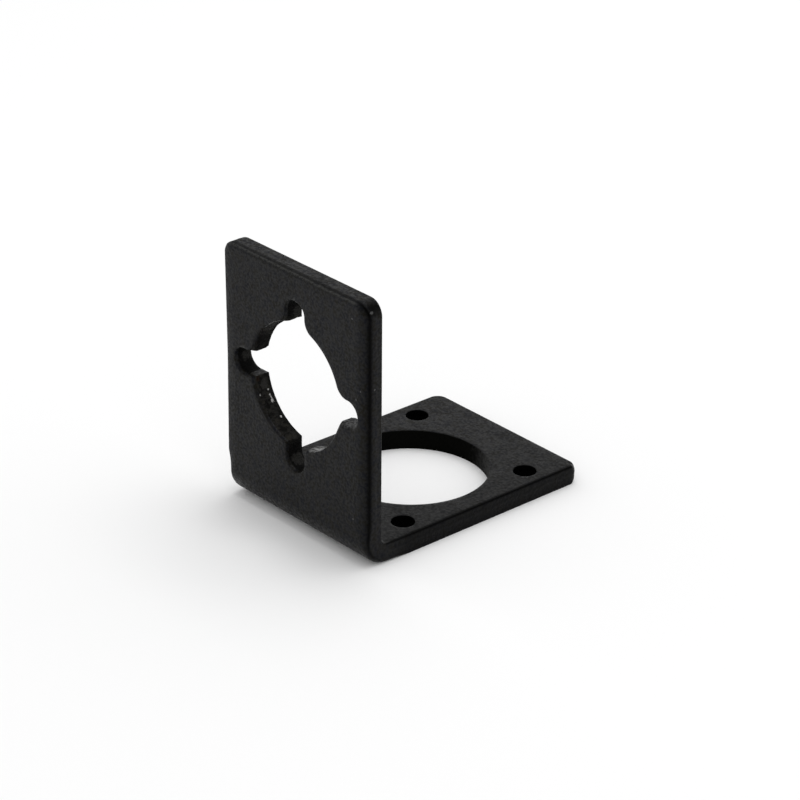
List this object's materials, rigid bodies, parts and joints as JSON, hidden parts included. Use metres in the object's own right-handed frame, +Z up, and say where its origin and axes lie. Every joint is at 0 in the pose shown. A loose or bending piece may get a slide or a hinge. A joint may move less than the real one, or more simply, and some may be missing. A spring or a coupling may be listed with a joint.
{
  "type": "motor mounting bracket",
  "caption": "Right-angle motor bracket folded from one thick plate: a bored base with a square of bolt holes, and an upright with a round opening and screw slots.",
  "frame": {"origin": "centre of the base bore, on the underside of the base", "axes": "+X across the plate, +Y along the base away from the upright, +Z up along the upright"},
  "size_m": [0.04, 0.054, 0.053],
  "materials": {
    "black_paint": "satin, fine texture"
  },
  "bodies": {
    "root": {"bracket": "black_paint"}
  },
  "joints": []
}
